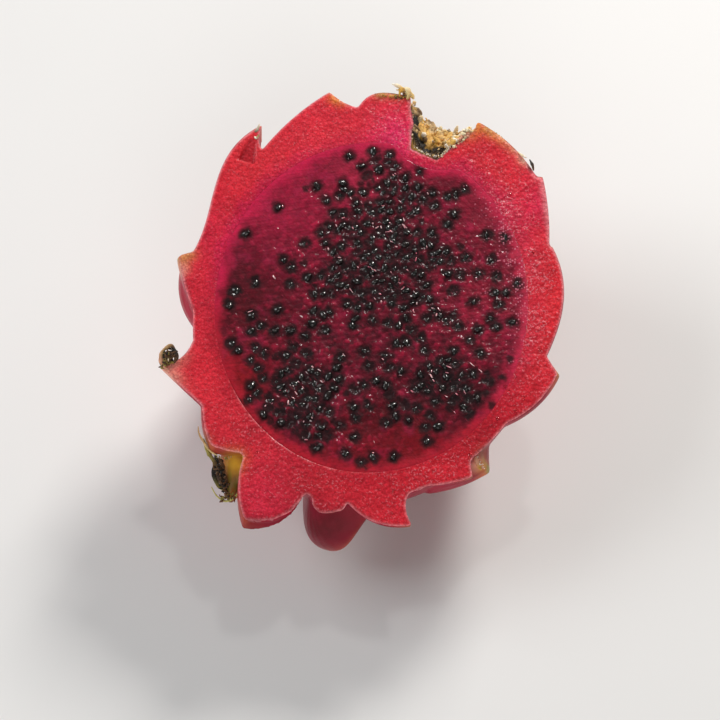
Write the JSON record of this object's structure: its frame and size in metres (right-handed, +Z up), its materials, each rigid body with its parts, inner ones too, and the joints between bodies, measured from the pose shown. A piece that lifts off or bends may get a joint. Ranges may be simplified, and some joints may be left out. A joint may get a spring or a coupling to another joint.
{
  "type": "halved dragon fruit",
  "caption": "Half of a red-fleshed dragon fruit, cut lengthwise and lying on its rind: scaly red rind, dark crimson flesh with black seeds, and a dried flower pit.",
  "frame": {"origin": "middle of the box round the half fruit, at the height of the surface that it rests on", "axes": "+Z up; +Y from the stem end towards the flower end, along the cut face as seen from above; +X to the right of the cut face, which leans 15 degrees towards -Y"},
  "size_m": [0.108, 0.123, 0.0639],
  "materials": {
    "rind": "satin",
    "flesh": "gloss",
    "dried_tissue": "matte",
    "seed": "gloss",
    "juice": "gloss"
  },
  "bodies": {
    "root": {"rind": "rind", "flesh": "flesh", "flower_scar": "dried_tissue"}
  },
  "joints": []
}
